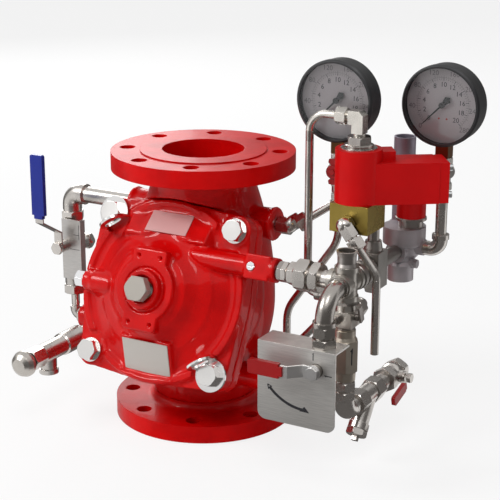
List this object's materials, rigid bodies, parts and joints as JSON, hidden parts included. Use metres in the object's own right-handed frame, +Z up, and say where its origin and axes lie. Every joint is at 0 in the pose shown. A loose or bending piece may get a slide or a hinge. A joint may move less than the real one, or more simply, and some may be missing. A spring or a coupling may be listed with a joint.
{
  "type": "electrically actuated control valve",
  "caption": "Flanged deluge-type control valve with a bolted cover, solenoid and manual release trim, strainer, check valve and pressure gauges.",
  "frame": {"origin": "centre of the inlet flange's raised face, on the pipe axis", "axes": "+Z up along the pipe axis towards the outlet flange, -Y out of the valve's front where the cover is, +X towards the control trim"},
  "size_m": [0.5569, 0.3005, 0.4752],
  "materials": {
    "red_casting": "gloss red paint over a sand casting",
    "red_enamel": "gloss red paint",
    "bright_bolt": "bright plated",
    "plate": "brushed plate",
    "bronze": "machined bronze",
    "clapper_iron": "coated iron",
    "seal_rubber": "black rubber",
    "steel": "satin stainless steel",
    "dark_steel": "dark satin malleable fittings",
    "blue_grip": "dipped vinyl",
    "red_grip": "dipped vinyl",
    "warm_bronze": "cast bronze, dull",
    "brass": "polished brass",
    "copper_coil": "moulded coil",
    "grey_cast": "grey coated casting",
    "gauge_black": "black crackle case",
    "dial": "printed dial",
    "lens": "flat glass",
    "gauge_brass": "dark brass"
  },
  "bodies": {
    "valve": {"valve_body": "red_casting", "valve_cover": "red_casting", "cover_bolts": "bright_bolt", "lifting_eyes": "bright_bolt", "cover_plugs": "bright_bolt", "data_plates": "plate", "seat_ring": "bronze", "guide_bushing": "bronze", "diaphragm": "seal_rubber", "alarm_pipework": "steel", "alarm_valve_body": "steel", "sign_plate": "plate", "drip_check_body": "steel", "cover_union": "steel", "manifold_cross": "dark_steel", "manifold_plugs": "dark_steel", "release_pipework": "steel", "release_panel": "plate", "lower_tee": "dark_steel", "check_valve_body": "warm_bronze", "supply_elbow": "steel", "strainer_body": "steel", "strainer_screen": "steel", "priming_valve_body": "steel", "manifold_nipples": "dark_steel", "relay_tee": "dark_steel", "solenoid_body": "brass", "solenoid_coil": "copper_coil", "solenoid_housing": "red_enamel", "exhaust_tube": "steel", "drain_tube": "steel", "trim_tubes": "steel", "relay_body": "grey_cast", "relay_cap": "red_enamel", "relay_pipes": "steel", "gauge_cases": "gauge_black", "gauge_dials": "dial", "gauge_lenses": "lens", "gauge_sockets": "gauge_brass", "cock_bodies": "steel"},
    "clapper": {"clapper_disc": "clapper_iron", "seat_rubber": "seal_rubber", "clapper_shaft": "steel"},
    "alarm_handle": {"alarm_ball": "steel", "alarm_lever": "steel", "alarm_grip": "blue_grip"},
    "release_handle": {"release_ball": "steel", "release_lever": "dark_steel", "release_grip": "red_grip"},
    "priming_handle": {"priming_ball": "steel", "priming_lever": "steel", "priming_grip": "red_grip"},
    "drip_knob": {"drip_check_knob": "dark_steel"},
    "poppet": {"check_poppet": "bronze"},
    "plunger": {"solenoid_plunger": "steel"},
    "piston": {"relay_piston": "bronze"},
    "left_needle": {"left_pointer": "gauge_black"},
    "right_needle": {"right_pointer": "gauge_black"},
    "left_handle": {"left_cock_handle": "red_grip"},
    "right_handle": {"right_cock_handle": "dark_steel"}
  },
  "joints": [
    {"name": "clapper_lift", "type": "slide", "parent": "valve", "child": "clapper", "axis": [0, -0.9397, 0.342], "range_m": [0, 0.018]},
    {"name": "alarm_turn", "type": "hinge", "parent": "valve", "child": "alarm_handle", "pos_m": [-0.203, 0, 0.196], "axis": [0, -1, 0], "range_deg": [0, 90]},
    {"name": "release_turn", "type": "hinge", "parent": "valve", "child": "release_handle", "pos_m": [0.242, -0.14501, 0.1565], "axis": [0, -1, 0], "range_deg": [0, 90]},
    {"name": "priming_turn", "type": "hinge", "parent": "valve", "child": "priming_handle", "pos_m": [0.242, 0.04599, 0.079], "axis": [1, 0, 0], "range_deg": [-15, 75]},
    {"name": "drip_push", "type": "slide", "parent": "valve", "child": "drip_knob", "axis": [0, 1, 0], "range_m": [0, 0.004]},
    {"name": "poppet_lift", "type": "slide", "parent": "valve", "child": "poppet", "axis": [0, 0, 1], "range_m": [0, 0.004]},
    {"name": "plunger_lift", "type": "slide", "parent": "valve", "child": "plunger", "axis": [0, 0, 1], "range_m": [0, 0.0025]},
    {"name": "piston_lift", "type": "slide", "parent": "valve", "child": "piston", "axis": [0, 0, 1], "range_m": [0, 0.006]},
    {"name": "left_needle_turn", "type": "hinge", "parent": "valve", "child": "left_needle", "pos_m": [0.187, -0.012, 0.427], "axis": [0, 1, 0], "range_deg": [0, 270]},
    {"name": "right_needle_turn", "type": "hinge", "parent": "valve", "child": "right_needle", "pos_m": [0.29, 0.05599, 0.42], "axis": [0, 1, 0], "range_deg": [0, 270]},
    {"name": "left_cock_turn", "type": "hinge", "parent": "valve", "child": "left_handle", "pos_m": [0.187, 0, 0.34375], "axis": [0, -1, 0], "range_deg": [0, 90]},
    {"name": "right_cock_turn", "type": "hinge", "parent": "valve", "child": "right_handle", "pos_m": [0.29, 0.06799, 0.33675], "axis": [0, -1, 0], "range_deg": [0, 90]}
  ]
}
